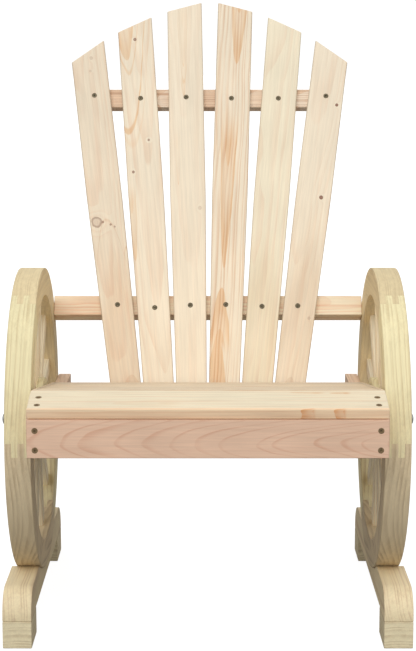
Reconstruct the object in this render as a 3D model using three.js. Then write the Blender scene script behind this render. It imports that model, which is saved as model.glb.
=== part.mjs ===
// A wooden garden armchair whose two arms are wagon wheels.
// Millimetres, +Z up. The chair faces -Y, and X runs from its left wheel to its right one as
// seen from the front. The floor is Z = 0, under the middle of the chair's bounding box.
import * as THREE from 'three';

// ---- driving dimensions ---------------------------------------------------------------------
const touch = 0.3; // the gap kept where one piece is cut to another, or rests on it at a tilt

// Side views are drawn around the wheel axle: y = 0 is the axle, and the floor is z = 0.
const wheel = { radius: 225, rimWidth: 41.6, thickness: 36.8, insideX: 244.5, z: 285 };
const hubRadius = 60;
const spoke = { count: 12, width: 22, thickness: 17 };

const baseRail = { insideX: 247.5, width: 41, front: -224, rear: 266.5, bottom: 39, top: 82 };
const railNose = 38; // radius of the rounded top corners of a base rail
const foot = { length: 69.5, height: baseRail.bottom };

const seatSlope = THREE.MathUtils.degToRad(9.05); // the seat falls towards the back
const seatApex = { y: -236.2, z: 372.9 }; // highest line of the seat, just behind its front edge
const seatSlat = { count: 5, width: 57, gap: 8, thickness: 14, length: 484 };
const frontSlat = { width: 66.2, slope: THREE.MathUtils.degToRad(12) };
const apron = { front: -301, thickness: 17.6, bottom: 292.5, top: 345.1, length: 484 };
const stringer = { insideX: 225, depth: 67, rear: 235 };

const recline = THREE.MathUtils.degToRad(24.3); // of the back, from upright
// A point of the back slats' front plane. Heights in the back are measured from it, up the slope.
const backOrigin = { y: 146.4, z: 436.3 };
const backSlat = { count: 6, thickness: 15, foot: -182, seatLine: -127.6, width: 57 };
// The slats' centre lines spread by this much for each millimetre above the seat line. Each slat
// narrows below its full width towards the seat, and the whole fan leans a little to +X.
const fan = { pitch: 51.5, spread: 0.0512, seatWidth: 48, widening: 0.0292, lean: 0.005 };
const arch = { radius: 480, offset: 89, centreX: 3, centreHeight: 50.9 }; // of the slats' tops
const lowerRail = { low: -178, height: 44, thickness: 20, halfLength: stringer.insideX - touch };
const midRail = { low: -14.2, height: 31.7, thickness: 33, halfLength: wheel.insideX - touch };
const topRail = { low: 339, height: 32, thickness: 17.5, halfLength: 205 };

// Carriage bolts through each rim and stringer, placed from the axle.
const boltPlaces = [['front', -204, 41], ['rear', 204, -13]];
const bolt = { shank: 8, bore: 8.6, headRadius: 8, headHeight: 3.6, tipPastNut: 3 };
const nut = { acrossCorners: 15, thickness: 6.5, inset: 2.2 }; // the inset leaves room for a washer

const rimSteps = 48; // straight steps in half a turn of the rim

// ---- materials ------------------------------------------------------------------------------
const wood = (color) => new THREE.MeshStandardMaterial({ color, roughness: 0.62, metalness: 0 });
const wheelWood = wood(0xdcc79a);
const spokeWood = wood(0xd2b98a);
const baseWood = wood(0xd9c194);
const seatWood = wood(0xe6cb98);
const apronWood = wood(0xdcb385);
const backWood = wood(0xe3c28c);
const zincSteel = new THREE.MeshStandardMaterial({ color: 0x9a958a, roughness: 0.4, metalness: 1 });

// ---- helpers --------------------------------------------------------------------------------
function addPiece(parent, name, geometry, material) {
  const mesh = new THREE.Mesh(geometry, material);
  mesh.name = name;
  parent.add(mesh);
  return mesh;
}

function outline(points) {
  return new THREE.Shape(points.map(([x, y]) => new THREE.Vector2(x, y)));
}

// A side-view outline, x as the chair's Y and y as its Z, made solid from one X to another.
function alongX(shape, fromX, toX, curveSegments = 12) {
  const geometry = new THREE.ExtrudeGeometry(shape, {
    depth: Math.abs(toX - fromX), bevelEnabled: false, curveSegments,
  });
  geometry.rotateX(Math.PI / 2);
  geometry.rotateZ(Math.PI / 2);
  geometry.translate(Math.min(fromX, toX), 0, 0);
  return geometry;
}

// A front-view outline, x as X and y as Z, made solid backwards from y = front.
function boardFacingFront(shape, front, thickness) {
  const geometry = new THREE.ExtrudeGeometry(shape, { depth: thickness, bevelEnabled: false });
  geometry.rotateX(Math.PI / 2);
  geometry.translate(0, front + thickness, 0);
  return geometry;
}

function box(halfLength, y0, y1, z0, z1) {
  const geometry = new THREE.BoxGeometry(2 * halfLength, y1 - y0, z1 - z0);
  geometry.translate(0, (y0 + y1) / 2, (z0 + z1) / 2);
  return geometry;
}

const sides = [['left', -1], ['right', 1]];

// ---- the chair ------------------------------------------------------------------------------
const chair = new THREE.Group();

// ---- wheels: a rim, a hub and twelve spokes on each side ------------------------------------
function boltBore(x, y) {
  const bore = new THREE.Path();
  bore.absarc(x, y, bolt.bore / 2, 0, 2 * Math.PI, true);
  return bore;
}

function disc(radius) {
  const shape = new THREE.Shape();
  shape.absarc(0, 0, radius, 0, 2 * Math.PI, false);
  return shape;
}

function rimShape() {
  const shape = disc(wheel.radius);
  const inside = new THREE.Path();
  inside.absarc(0, 0, wheel.radius - wheel.rimWidth, 0, 2 * Math.PI, true);
  shape.holes.push(inside);
  for (const [, y, z] of boltPlaces) shape.holes.push(boltBore(y, z));
  return shape;
}

// A spoke drawn straight up from the axle, its ends hollowed and rounded to the hub and the rim.
function spokeShape() {
  const inner = hubRadius + touch;
  const outer = wheel.radius - wheel.rimWidth - touch;
  const innerHalfAngle = Math.asin(spoke.width / 2 / inner);
  const outerHalfAngle = Math.asin(spoke.width / 2 / outer);
  const up = Math.PI / 2;
  const shape = new THREE.Shape();
  shape.absarc(0, 0, inner, up + innerHalfAngle, up - innerHalfAngle, true);
  shape.absarc(0, 0, outer, up - outerHalfAngle, up + outerHalfAngle, false);
  shape.closePath();
  return shape;
}

for (const [side, sign] of sides) {
  const wheelGroup = new THREE.Group();
  const middleX = sign * (wheel.insideX + wheel.thickness / 2);
  wheelGroup.position.set(middleX, 0, wheel.z);
  chair.add(wheelGroup);

  const half = wheel.thickness / 2;
  addPiece(wheelGroup, `rim_${side}`, alongX(rimShape(), -half, half, rimSteps), wheelWood);
  addPiece(wheelGroup, `hub_${side}`, alongX(disc(hubRadius), -half, half, 24), wheelWood);

  for (let i = 0; i < spoke.count; i += 1) {
    const geometry = alongX(spokeShape(), -spoke.thickness / 2, spoke.thickness / 2, 3);
    const name = `spoke_${side}_${String(i + 1).padStart(2, '0')}`;
    const mesh = addPiece(wheelGroup, name, geometry, spokeWood);
    mesh.rotation.x = ((i + 0.5) * 2 * Math.PI) / spoke.count;
  }
}

// ---- base: a rail under each wheel, cradling its rim, on two foot blocks --------------------
function baseRailShape() {
  const { front, rear, bottom, top } = baseRail;
  const cradle = wheel.radius + touch;
  const dip = wheel.z - top;
  const halfAngle = Math.acos(dip / cradle);
  const down = -Math.PI / 2;
  const shape = new THREE.Shape();
  shape.moveTo(front, bottom);
  shape.lineTo(rear, bottom);
  shape.absarc(rear - railNose, top - railNose, railNose, 0, Math.PI / 2, false);
  shape.absarc(0, wheel.z, cradle, down + halfAngle, down - halfAngle, true);
  shape.absarc(front + railNose, top - railNose, railNose, Math.PI / 2, Math.PI, false);
  shape.closePath();
  return shape;
}

for (const [side, sign] of sides) {
  const inner = sign * baseRail.insideX;
  const outer = sign * (baseRail.insideX + baseRail.width);
  addPiece(chair, `base_rail_${side}`, alongX(baseRailShape(), inner, outer, 16), baseWood);
  const places = [['front', baseRail.front], ['rear', baseRail.rear - foot.length]];
  for (const [end, y] of places) {
    const shape = outline([
      [y, 0], [y + foot.length, 0], [y + foot.length, foot.height], [y, foot.height],
    ]);
    addPiece(chair, `foot_${end}_${side}`, alongX(shape, inner, outer), baseWood);
  }
}

// ---- seat: two stringers on the wheels, an apron, the front slat and the seat slats ---------
const apronRear = apron.front + apron.thickness;
const seatEnd = seatSlat.count * (seatSlat.width + seatSlat.gap); // down the slope from the apex

// Height of the stringers' top edge under the seat slats, at a given y.
function underSeat(y) {
  const slatHeight = seatSlat.thickness / Math.cos(seatSlope);
  return seatApex.z - (y - seatApex.y) * Math.tan(seatSlope) - slatHeight - touch;
}

// Height of the stringers' top edge under the tilted front slat, at a given y.
function underFrontSlat(y) {
  const slatHeight = seatSlat.thickness / Math.cos(frontSlat.slope);
  return seatApex.z + (y - seatApex.y) * Math.tan(frontSlat.slope) - slatHeight - touch;
}

function stringerShape() {
  const front = apronRear + touch;
  const slopes = Math.tan(frontSlat.slope) + Math.tan(seatSlope);
  const peak = seatApex.y + (underSeat(seatApex.y) - underFrontSlat(seatApex.y)) / slopes;
  const seatRear = seatApex.y + seatEnd * Math.cos(seatSlope);
  const flat = underSeat(seatRear);
  const shape = outline([
    [front, apron.bottom + 4],
    [peak, underSeat(peak) - stringer.depth],
    [seatRear, flat - stringer.depth],
    [stringer.rear, flat - stringer.depth],
    [stringer.rear, flat],
    [seatRear, flat],
    [peak, underSeat(peak)],
    [front, underFrontSlat(front)],
  ]);
  for (const [, y, z] of boltPlaces) shape.holes.push(boltBore(y, wheel.z + z));
  return shape;
}

for (const [side, sign] of sides) {
  const inner = sign * stringer.insideX;
  const outer = sign * (wheel.insideX - touch);
  addPiece(chair, `stringer_${side}`, alongX(stringerShape(), inner, outer), seatWood);
}

addPiece(
  chair, 'apron', box(apron.length / 2, apron.front, apronRear, apron.bottom, apron.top), apronWood,
);

// Both groups turn about the apex line: the front slat lies before it, the seat slats behind it.
const frontGroup = new THREE.Group();
frontGroup.position.set(0, seatApex.y, seatApex.z);
frontGroup.rotation.x = frontSlat.slope;
chair.add(frontGroup);
addPiece(
  frontGroup, 'seat_slat_front',
  box(seatSlat.length / 2, -frontSlat.width, 0, -seatSlat.thickness, 0), seatWood,
);

const seatGroup = new THREE.Group();
seatGroup.position.set(0, seatApex.y, seatApex.z);
seatGroup.rotation.x = -seatSlope;
chair.add(seatGroup);
for (let i = 0; i < seatSlat.count; i += 1) {
  const start = seatSlat.gap + i * (seatSlat.width + seatSlat.gap);
  const geometry = box(
    seatSlat.length / 2, start, start + seatSlat.width, -seatSlat.thickness, 0,
  );
  addPiece(seatGroup, `seat_slat_${i + 1}`, geometry, seatWood);
}

// ---- back: six tapered slats fanning out, on three rails behind them ------------------------
const backGroup = new THREE.Group();
backGroup.position.set(0, backOrigin.y, backOrigin.z);
backGroup.rotation.x = -recline;
chair.add(backGroup);

// X of one edge of a slat, at a height in the back. edge is -1 for its left edge, 1 for its right.
function slatEdgeX(i, edge, height) {
  const rise = height - backSlat.seatLine;
  const place = i - (backSlat.count - 1) / 2;
  const centre = place * (fan.pitch + fan.spread * rise) + fan.lean * rise;
  const width = Math.min(backSlat.width, fan.seatWidth + fan.widening * rise);
  return centre + (edge * width) / 2;
}

function archHeight(x) {
  const away = Math.abs(x - arch.centreX) + arch.offset;
  return arch.centreHeight + Math.sqrt(arch.radius ** 2 - away ** 2);
}

// The corner where a slat's straight edge meets the arch.
function slatTopCorner(i, edge) {
  let height = archHeight(slatEdgeX(i, edge, backSlat.seatLine));
  for (let step = 0; step < 12; step += 1) {
    height = archHeight(slatEdgeX(i, edge, height));
  }
  return [slatEdgeX(i, edge, height), height];
}

// Height at which the slats reach their full width.
const shoulder = backSlat.seatLine + (backSlat.width - fan.seatWidth) / fan.widening;

for (let i = 0; i < backSlat.count; i += 1) {
  const shape = outline([
    [slatEdgeX(i, -1, backSlat.foot), backSlat.foot],
    [slatEdgeX(i, 1, backSlat.foot), backSlat.foot],
    [slatEdgeX(i, 1, shoulder), shoulder],
    slatTopCorner(i, 1),
    slatTopCorner(i, -1),
    [slatEdgeX(i, -1, shoulder), shoulder],
  ]);
  const geometry = boardFacingFront(shape, 0, backSlat.thickness);
  addPiece(backGroup, `back_slat_${i + 1}`, geometry, backWood);
}

const backRails = [['lower', lowerRail], ['middle', midRail], ['top', topRail]];
for (const [place, rail] of backRails) {
  const front = backSlat.thickness + touch;
  const geometry = box(
    rail.halfLength, front, front + rail.thickness, rail.low, rail.low + rail.height,
  );
  addPiece(backGroup, `back_rail_${place}`, geometry, backWood);
}

// ---- carriage bolts: a domed head outside each rim, and a nut inside each stringer ----------
// Lathe profiles and prisms are made along Z and then turned to lie along X.
function boltGeometry(length) {
  const profile = [
    new THREE.Vector2(0, -length),
    new THREE.Vector2(bolt.shank / 2, -length),
    new THREE.Vector2(bolt.shank / 2, touch),
  ];
  const steps = 6;
  for (let i = 0; i < steps; i += 1) {
    const angle = (i / steps) * (Math.PI / 2);
    profile.push(new THREE.Vector2(
      bolt.headRadius * Math.cos(angle), touch + bolt.headHeight * Math.sin(angle),
    ));
  }
  profile.push(new THREE.Vector2(0, touch + bolt.headHeight));
  return new THREE.LatheGeometry(profile, 24).rotateX(Math.PI / 2);
}

function nutGeometry() {
  const corners = [];
  for (let i = 0; i < 6; i += 1) {
    const angle = (i / 6) * 2 * Math.PI;
    corners.push([
      (nut.acrossCorners / 2) * Math.cos(angle), (nut.acrossCorners / 2) * Math.sin(angle),
    ]);
  }
  const shape = outline(corners);
  shape.holes.push(boltBore(0, 0));
  return new THREE.ExtrudeGeometry(shape, { depth: nut.thickness, bevelEnabled: false });
}

for (const [side, sign] of sides) {
  for (const [end, y, z] of boltPlaces) {
    const outward = new THREE.Group(); // its +Z points out of the chair along X
    outward.position.set(0, y, wheel.z + z);
    outward.rotation.y = sign * (Math.PI / 2);
    chair.add(outward);

    const outerFace = wheel.insideX + wheel.thickness;
    const nutStart = stringer.insideX - nut.inset - nut.thickness;
    const shankLength = outerFace - nutStart + bolt.tipPastNut;

    const shank = addPiece(
      outward, `rim_bolt_${end}_${side}`, boltGeometry(shankLength), zincSteel,
    );
    shank.position.z = outerFace;
    const hexagon = addPiece(outward, `rim_nut_${end}_${side}`, nutGeometry(), zincSteel);
    hexagon.position.z = nutStart;
  }
}

// ---- origin: the floor under the middle of the bounding box ---------------------------------
const bounds = new THREE.Box3().setFromObject(chair, true);
const middle = bounds.getCenter(new THREE.Vector3());
chair.position.set(-middle.x, -middle.y, -bounds.min.z);
chair.updateMatrixWorld(true);

export default chair;
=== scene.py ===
# A wooden garden armchair between two wagon wheels, finished piece by piece on its CAD frame.
from functools import partial
import math

import bmesh
import bpy
from mathutils import Matrix, Vector


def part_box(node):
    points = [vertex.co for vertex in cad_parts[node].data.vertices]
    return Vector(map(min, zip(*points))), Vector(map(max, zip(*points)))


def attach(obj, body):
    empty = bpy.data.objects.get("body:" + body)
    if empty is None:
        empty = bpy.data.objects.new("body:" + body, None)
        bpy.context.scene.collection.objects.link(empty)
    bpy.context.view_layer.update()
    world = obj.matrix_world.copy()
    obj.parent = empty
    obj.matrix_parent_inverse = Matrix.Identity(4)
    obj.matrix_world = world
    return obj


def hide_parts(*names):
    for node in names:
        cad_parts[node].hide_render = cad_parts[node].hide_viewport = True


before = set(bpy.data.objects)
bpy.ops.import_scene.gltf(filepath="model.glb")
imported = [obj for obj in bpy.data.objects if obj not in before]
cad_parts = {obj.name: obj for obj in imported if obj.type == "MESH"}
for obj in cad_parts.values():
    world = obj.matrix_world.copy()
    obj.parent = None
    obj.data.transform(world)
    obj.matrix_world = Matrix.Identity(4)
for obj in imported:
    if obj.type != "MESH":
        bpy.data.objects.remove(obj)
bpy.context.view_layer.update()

# ---- studio ---------------------------------------------------------------------------------
# The chair stands on a plain pale floor under a broad soft key from the upper left and a white
# sky, and is seen from straight ahead, a little above the seat.
scene = bpy.context.scene
scene.view_settings.view_transform = "Standard"

camera_tip = 9.024               # degrees below level
camera_data = bpy.data.cameras.new("studio_camera")
camera_data.sensor_width, camera_data.lens = 36, 95.115
camera = bpy.data.objects.new("studio_camera", camera_data)
camera.location = (0.0001, -2.5777, 0.8282)
camera.rotation_euler = (math.radians(90 - camera_tip), 0, 0)
scene.collection.objects.link(camera)
scene.camera = camera

key_tip, key_swing, key_width = (math.radians(a) for a in (45, -8, 35))
key_data = bpy.data.lights.new("key_lamp", "SUN")
key_data.energy, key_data.angle = 1.4, key_width
key_lamp = bpy.data.objects.new("key_lamp", key_data)
key_lamp.rotation_euler = (key_tip, 0, key_swing)
scene.collection.objects.link(key_lamp)


def two_strengths(tree, lighting, seen):
    """A glow's strength: one value for the light that it gives, another as it is seen."""
    node = tree.nodes.new("ShaderNodeMapRange")
    node.inputs["To Min"].default_value = lighting
    node.inputs["To Max"].default_value = seen
    path = tree.nodes.new("ShaderNodeLightPath")
    tree.links.new(path.outputs["Is Camera Ray"], node.inputs["Value"])
    return node.outputs["Result"]


sky = bpy.data.worlds.new("studio_sky")
scene.world = sky
sky.use_nodes = True
backdrop = sky.node_tree.nodes["Background"].inputs
backdrop["Color"].default_value = (1, 1, 1, 1)
sky.node_tree.links.new(two_strengths(sky.node_tree, 0.65, 1.05), backdrop["Strength"])

floor_reach, floor_level = 60, -0.0004
floor_mesh = bpy.data.meshes.new("studio_floor")
floor_mesh.from_pydata(
    [(x * floor_reach, y * floor_reach, floor_level)
     for x, y in ((-1, -1), (1, -1), (1, 1), (-1, 1))], [], [(0, 1, 2, 3)])
floor_paint = bpy.data.materials.new("floor_paint")
floor_paint.use_nodes = True
floor_tree = floor_paint.node_tree
floor_shader = floor_tree.nodes["Principled BSDF"].inputs
for label, value in (("Base Color", (0.3, 0.3, 0.3, 1)), ("Roughness", 0.9),
                     ("Specular IOR Level", 0.1), ("Emission Color", (1, 1, 1, 1))):
    floor_shader[label].default_value = value
floor_tree.links.new(two_strengths(floor_tree, 0.0, 0.9), floor_shader["Emission Strength"])
floor_mesh.materials.append(floor_paint)
studio_floor = bpy.data.objects.new("studio_floor", floor_mesh)
scene.collection.objects.link(studio_floor)


# ---- hubs -----------------------------------------------------------------------------------
# Each wheel turns round nothing: its hub is a plain disc of pale spruce sawn from one plank,
# with its arrises eased. The timber's grain is set up here, for every board of the chair.
socket_kinds = {"c": "Color", "f": "Float", "g": "Geometry", "i": "Int", "m": "Material",
                "o": "Object", "v": "Vector"}


def node_group(name, inputs, outputs, kind="ShaderNodeTree"):
    """A node group with its sockets made: returns it, its input and its output sockets."""
    group = bpy.data.node_groups.new(name, kind)
    for in_out, rows in (("INPUT", inputs), ("OUTPUT", outputs)):
        for label, letter, *value in rows:
            made = group.interface.new_socket(
                name=label, in_out=in_out, socket_type="NodeSocket" + socket_kinds[letter])
            if value:
                made.default_value = value[0]
    return (group, group.nodes.new("NodeGroupInput").outputs,
            group.nodes.new("NodeGroupOutput").inputs)


def result(node, label=None):
    """A node's first live output, or the live one of that name."""
    return next(s for s in node.outputs if s.enabled and label in (None, s.name))


def feed(tree, socket, value):
    """Puts on a socket a plain value, or links from other sockets or nodes' results."""
    if isinstance(value, list):
        for one in value:
            feed(tree, socket, one)
    elif isinstance(value, bpy.types.Node):
        tree.links.new(result(value), socket)
    elif isinstance(value, bpy.types.NodeSocket):
        tree.links.new(value, socket)
    else:
        socket.default_value = value


def step(tree, kind, sets=(), **inputs):
    """One node; sets are its properties, inputs what goes on its live sockets."""
    node = tree.nodes.new(kind)
    for label, value in dict(sets).items():
        setattr(node, label, value)
    for label, value in inputs.items():
        feed(tree, next(s for s in node.inputs
                        if s.enabled and s.name == label.replace("_", " ")), value)
    return node


def sum_node(tree, operation, *values, clamp=False):
    """One Math node; returns its result."""
    node = tree.nodes.new("ShaderNodeMath")
    node.operation, node.use_clamp = operation, clamp
    for socket, value in zip(node.inputs, values):
        feed(tree, socket, value)
    return node.outputs[0]


def vector_sum(tree, operation, first, second):
    """One Vector Math node; returns its vector."""
    node = step(tree, "ShaderNodeVectorMath", {"operation": operation})
    feed(tree, node.inputs[0], first)
    feed(tree, node.inputs["Scale"] if operation == "SCALE" else node.inputs[1], second)
    return node.outputs[0]


def ramp(tree, value, start, end, low=0.0, high=1.0):
    """A smooth step of value from start to end, giving low to high."""
    return result(step(tree, "ShaderNodeMapRange", {"interpolation_type": "SMOOTHSTEP"},
                       Value=value, From_Min=start, From_Max=end, To_Min=low, To_Max=high))


def blend_colour(tree, share, under, over, how="MIX"):
    """One colour laid over another by share."""
    return result(step(tree, "ShaderNodeMix", {"data_type": "RGBA", "blend_type": how},
                       Factor=share, A=under, B=over))


def stretched_noise(tree, place, scale, detail=2.0, rough=0.5):
    """Noise drawn out along the grain: scale is its fineness along, across and through."""
    return step(tree, "ShaderNodeTexNoise", Vector=vector_sum(tree, "MULTIPLY", place, scale),
                Scale=1, Detail=detail, Roughness=rough).outputs


def parts(tree, vector):
    """The three parts of a vector."""
    return step(tree, "ShaderNodeSeparateXYZ", Vector=vector).outputs


def tools(tree):
    """The four commonest steps of a shader group, ready for its tree."""
    return (partial(make, tree) for make in (sum_node, ramp, blend_colour, stretched_noise))


def make_softwood_group():
    """Sawn softwood: growth rings round a pith that leans through the board."""
    tree, take, give = node_group("sawn_softwood", [
        ("Grain", "v"), ("Shift", "v", (0, 0, 0)), ("Pith", "v", (0, 0, -0.04)),
        ("Lean", "v", (0, 0, 0.02)), ("Ring", "f", 0.004), ("Waver", "f", 0.002),
        ("Contrast", "f", 0.5), ("Late Start", "f", 0.3), ("Heart Radius", "f", 0.0),
        ("Heart Share", "f", 0.6), ("Streaks", "f", 0.3), ("Swell", "f", 0.0),
        ("Knot", "f", 0.0), ("Flame", "f", 0.0), ("Early", "c", (0.8, 0.68, 0.5, 1)),
        ("Late", "c", (0.62, 0.42, 0.25, 1)), ("Heart", "c", (0.72, 0.48, 0.3, 1)),
        ("Tongue", "c", (0.92, 0.75, 0.6, 1)), ("Knot Colour", "c", (0.25, 0.13, 0.06, 1)),
        ("Tone", "f", 0.5), ("Tone Reach", "f", 0.1), ("Arris", "f", 0.0),
    ], [("Color", "c"), ("Roughness", "f"), ("Height", "f")])
    calc, rise, lay, noise = tools(tree)
    place = vector_sum(tree, "ADD", take["Grain"], take["Shift"])
    along, across, through = parts(tree, take["Grain"])
    _, pith_across, pith_through = parts(tree, take["Pith"])
    _, lean_across, lean_through = parts(tree, take["Lean"])
    wander = parts(tree, noise(place, (4.5, 16, 16), 2.5)["Color"])

    def from_pith(part, pith, lean, drift):
        out = calc("SUBTRACT", calc("SUBTRACT", part, pith), calc("MULTIPLY", lean, along))
        swing = calc("MULTIPLY", calc("SUBTRACT", drift, 0.5), take["Waver"])
        return calc("POWER", calc("ABSOLUTE", calc("MULTIPLY_ADD", swing, 4.0, out)), 2.0)

    # how far each point lies from the pith, in growth rings of uneven width
    radius = calc("SQRT", calc(
        "ADD", from_pith(across, pith_across, lean_across, wander[0]),
        from_pith(through, pith_through, lean_through, wander[1])))
    radius = calc("ADD", radius, take["Swell"])
    count = calc("DIVIDE", radius, take["Ring"])
    uneven = step(tree, "ShaderNodeTexNoise", {"noise_dimensions": "1D"}, W=count,
                  Scale=0.55, Detail=1)
    phase = calc("FRACT", calc("MULTIPLY_ADD", uneven.outputs[0], 1.5, count))
    late = calc("MULTIPLY", rise(phase, take["Late Start"], 0.9),
                rise(phase, 0.93, 1.0, 1.0, 0.0))
    patchy = noise(place, (7, 60, 60))[0]
    late_share = calc("MULTIPLY", calc("MULTIPLY", late, take["Contrast"]),
                      rise(patchy, 0.3, 0.68, 0.35, 1.3), clamp=True)
    colour = lay(late_share, take["Early"], take["Late"])

    # darker heartwood round the pith, tongues of it, and resin streaks
    heart = rise(calc("SUBTRACT", take["Heart Radius"], radius), -0.0012, 0.002)
    colour = lay(calc("MULTIPLY", heart, take["Heart Share"]), colour, take["Heart"],
                 "MULTIPLY")
    flame = calc("MULTIPLY", take["Flame"], rise(patchy, 0.2, 0.6, 0.6, 1.0), clamp=True)
    colour = lay(flame, colour, take["Tongue"], "MULTIPLY")
    streak = rise(noise(place, (3.2, 105, 105), 3, 0.6)[0], 0.53, 0.72)
    colour = lay(calc("MULTIPLY", streak, take["Streaks"]), colour, take["Late"])

    # knots, painted shade on the rounded arrises, and the light and dark of fibres and of whole
    # boards
    fibre = noise(place, (22, 900, 900), 3, 0.62)[0]
    coarse = noise(place, (9, 260, 260))[0]
    mottle = noise(place, (9, 14, 14))[0]
    worth = calc("MULTIPLY", calc("MULTIPLY", rise(fibre, 0.25, 0.75, 0.945, 1.035),
                                  rise(coarse, 0.28, 0.72, 0.95, 1.03)),
                 rise(mottle, 0.3, 0.7, 0.965, 1.02))
    tone = calc("MULTIPLY_ADD", calc("SUBTRACT", take["Tone"], 0.5), take["Tone Reach"], 1.0)
    colour = lay(calc("MULTIPLY", take["Knot"], 1.0, clamp=True), colour,
                 take["Knot Colour"])
    # painted shade: rounded arrises along the grain are darkened as if turned away from the
    # light, and end-grain arrises stay nearly as they are
    colour = lay(calc("MULTIPLY", take["Arris"], 0.55), colour, (0.56, 0.5, 0.42, 1),
                 "MULTIPLY")
    feed(tree, give["Color"],
         vector_sum(tree, "SCALE", colour, calc("MULTIPLY", worth, tone)))
    feed(tree, give["Roughness"],
         calc("MULTIPLY_ADD", late, -0.07, rise(fibre, 0.2, 0.8, 0.58, 0.68)))
    feed(tree, give["Height"], calc("MULTIPLY_ADD", late, 0.5, calc("MULTIPLY", fibre, 0.6)))
    return tree


def make_knot_group():
    """A branch cut across: the rings swell round it, and its core is dark and ringed."""
    tree, take, give = node_group("branch_knot", [
        ("Grain", "v"), ("Place", "v", (0, 0, 0)), ("Radius", "f", 0.004),
        ("Swell", "f", 1.6), ("Depth", "f", 0.8), ("Core", "f", 0.9),
    ], [("Swell", "f"), ("Knot", "f")])
    calc, rise, _, noise = tools(tree)
    along, across, _ = parts(tree, take["Grain"])
    place_along, place_across, _ = parts(tree, take["Place"])
    rough = noise(take["Grain"], (90, 140, 140))[0]
    down = calc("MULTIPLY", calc("SUBTRACT", along, place_along), 0.9)
    side = calc("SUBTRACT", across, place_across)
    away = calc("SQRT", calc("ADD", calc("MULTIPLY", down, down),
                             calc("MULTIPLY", side, side)))
    share = calc("MULTIPLY_ADD", calc("SUBTRACT", rough, 0.5), 0.5,
                 calc("DIVIDE", away, take["Radius"]))
    feed(tree, give["Swell"], calc(
        "MULTIPLY", calc("MULTIPLY", take["Radius"], take["Swell"]),
        rise(calc("MULTIPLY", share, 0.25), 0.0, 1.0, 1.0, 0.0)))
    rings = rise(calc("FRACT", calc("MULTIPLY", share, 2.6)), 0.2, 0.9, 0.6, 0.95)
    rim = rise(share, 0.6, 0.95, take["Core"], 1.3)
    body = calc("MULTIPLY", calc("MULTIPLY", rings, rim),
                rise(share, 0.9, 1.25, 1.0, 0.0), clamp=True)
    feed(tree, give["Knot"], calc("MULTIPLY", body, take["Depth"]))
    return tree


def make_flame_group():
    """A tongue of heartwood where the saw ran out of the darker rings."""
    tree, take, give = node_group("heart_flame", [
        ("Grain", "v"), ("Tip", "v", (0, 0, 0)), ("Length", "f", 0.1),
        ("Half Width", "f", 0.01), ("Lines", "f", 1.6), ("Filled", "f", 1.0),
        ("Softness", "f", 0.025),
    ], [("Flame", "f")])
    calc, rise, _, noise = tools(tree)
    along, across, _ = parts(tree, take["Grain"])
    tip_along, tip_across, _ = parts(tree, take["Tip"])
    wander = noise(take["Grain"], (14, 60, 60))[0]
    side = calc("DIVIDE", calc("MULTIPLY_ADD", calc("SUBTRACT", wander, 0.5), 0.006,
                               calc("SUBTRACT", across, tip_across)), take["Half Width"])
    gone = calc("DIVIDE", calc("SUBTRACT", along, tip_along), take["Length"])
    depth = calc("SUBTRACT", gone, calc("MULTIPLY", side, side))
    lines = rise(calc("FRACT", calc("MULTIPLY", depth, take["Lines"])), 0.1, 0.85, 1.0, 0.45)
    body = calc("MULTIPLY", rise(depth, 0.0, take["Softness"]),
                rise(gone, 0.72, 1.05, 1.0, 0.0))
    outline = rise(depth, 0.03, 0.07, 1.0, take["Filled"])
    feed(tree, give["Flame"], calc("MULTIPLY", calc("MULTIPLY", body, lines), outline))
    return tree


softwood_group = make_softwood_group()
knot_group = make_knot_group()
flame_group = make_flame_group()


def new_paint(name):
    """An empty finish and its tree."""
    paint = bpy.data.materials.new(name)
    paint.use_nodes = True
    return paint, paint.node_tree


def coat(tree, group, strength, distance, **fixed):
    """Puts a group's colour, roughness and relief on the shader, and its fixed values."""
    shader = tree.nodes["Principled BSDF"]
    relief = step(tree, "ShaderNodeBump", Strength=strength, Distance=distance,
                  Height=group.outputs["Height"])
    for label, value in (("Base Color", group.outputs["Color"]), ("Normal", relief),
                         ("Roughness", group.outputs["Roughness"]), *fixed.items()):
        feed(tree, shader.inputs[label.replace("_", " ")], value)


pin_knot = 0.005                 # a knot of at most this radius is dark to its core
broad_flame = 0.03               # a filled tongue wider than this, to one side, fades in


def softwood(name, knots=(), flames=(), **values):
    """A board's own finish: knots are (along, across, radius, depth), and flames are (tip
    along, tip across, length in which it widens, half width, share, filled)."""
    paint, tree = new_paint(name)
    calc = partial(sum_node, tree)
    # the arris attribute carries the mask for the painted shade on the rounded arrises
    grain, tone, arris = (
        result(step(tree, "ShaderNodeAttribute", {"attribute_name": label}), output)
        for label, output in (("grain", "Vector"), ("tone", "Fac"), ("arris", "Fac")))
    swell = knot = flame = 0.0
    for at, side, radius, depth in knots:
        made = step(tree, "ShaderNodeGroup", {"node_tree": knot_group}, Grain=grain,
                    Place=(at, side, 0), Radius=radius, Depth=depth,
                    Core=0.3 if radius > pin_knot else 1.0).outputs
        swell = calc("ADD", made["Swell"], swell)
        knot = calc("MAXIMUM", made["Knot"], knot)
    for at, side, length, half, share, filled in flames:
        made = step(tree, "ShaderNodeGroup", {"node_tree": flame_group}, Grain=grain,
                    Tip=(at, side, 0), Length=length, Half_Width=half, Filled=filled,
                    Softness=0.35 if half > broad_flame and filled else 0.025)
        flame = calc("MAXIMUM", calc("MULTIPLY", made.outputs["Flame"], share), flame)
    wood = step(tree, "ShaderNodeGroup", {"node_tree": softwood_group}, Grain=grain,
                Swell=swell, Knot=knot, Flame=flame, Tone=tone, Arris=arris, **values)
    coat(tree, wood, 0.25, 0.0006, Specular_IOR_Level=0.35)
    return paint


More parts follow.
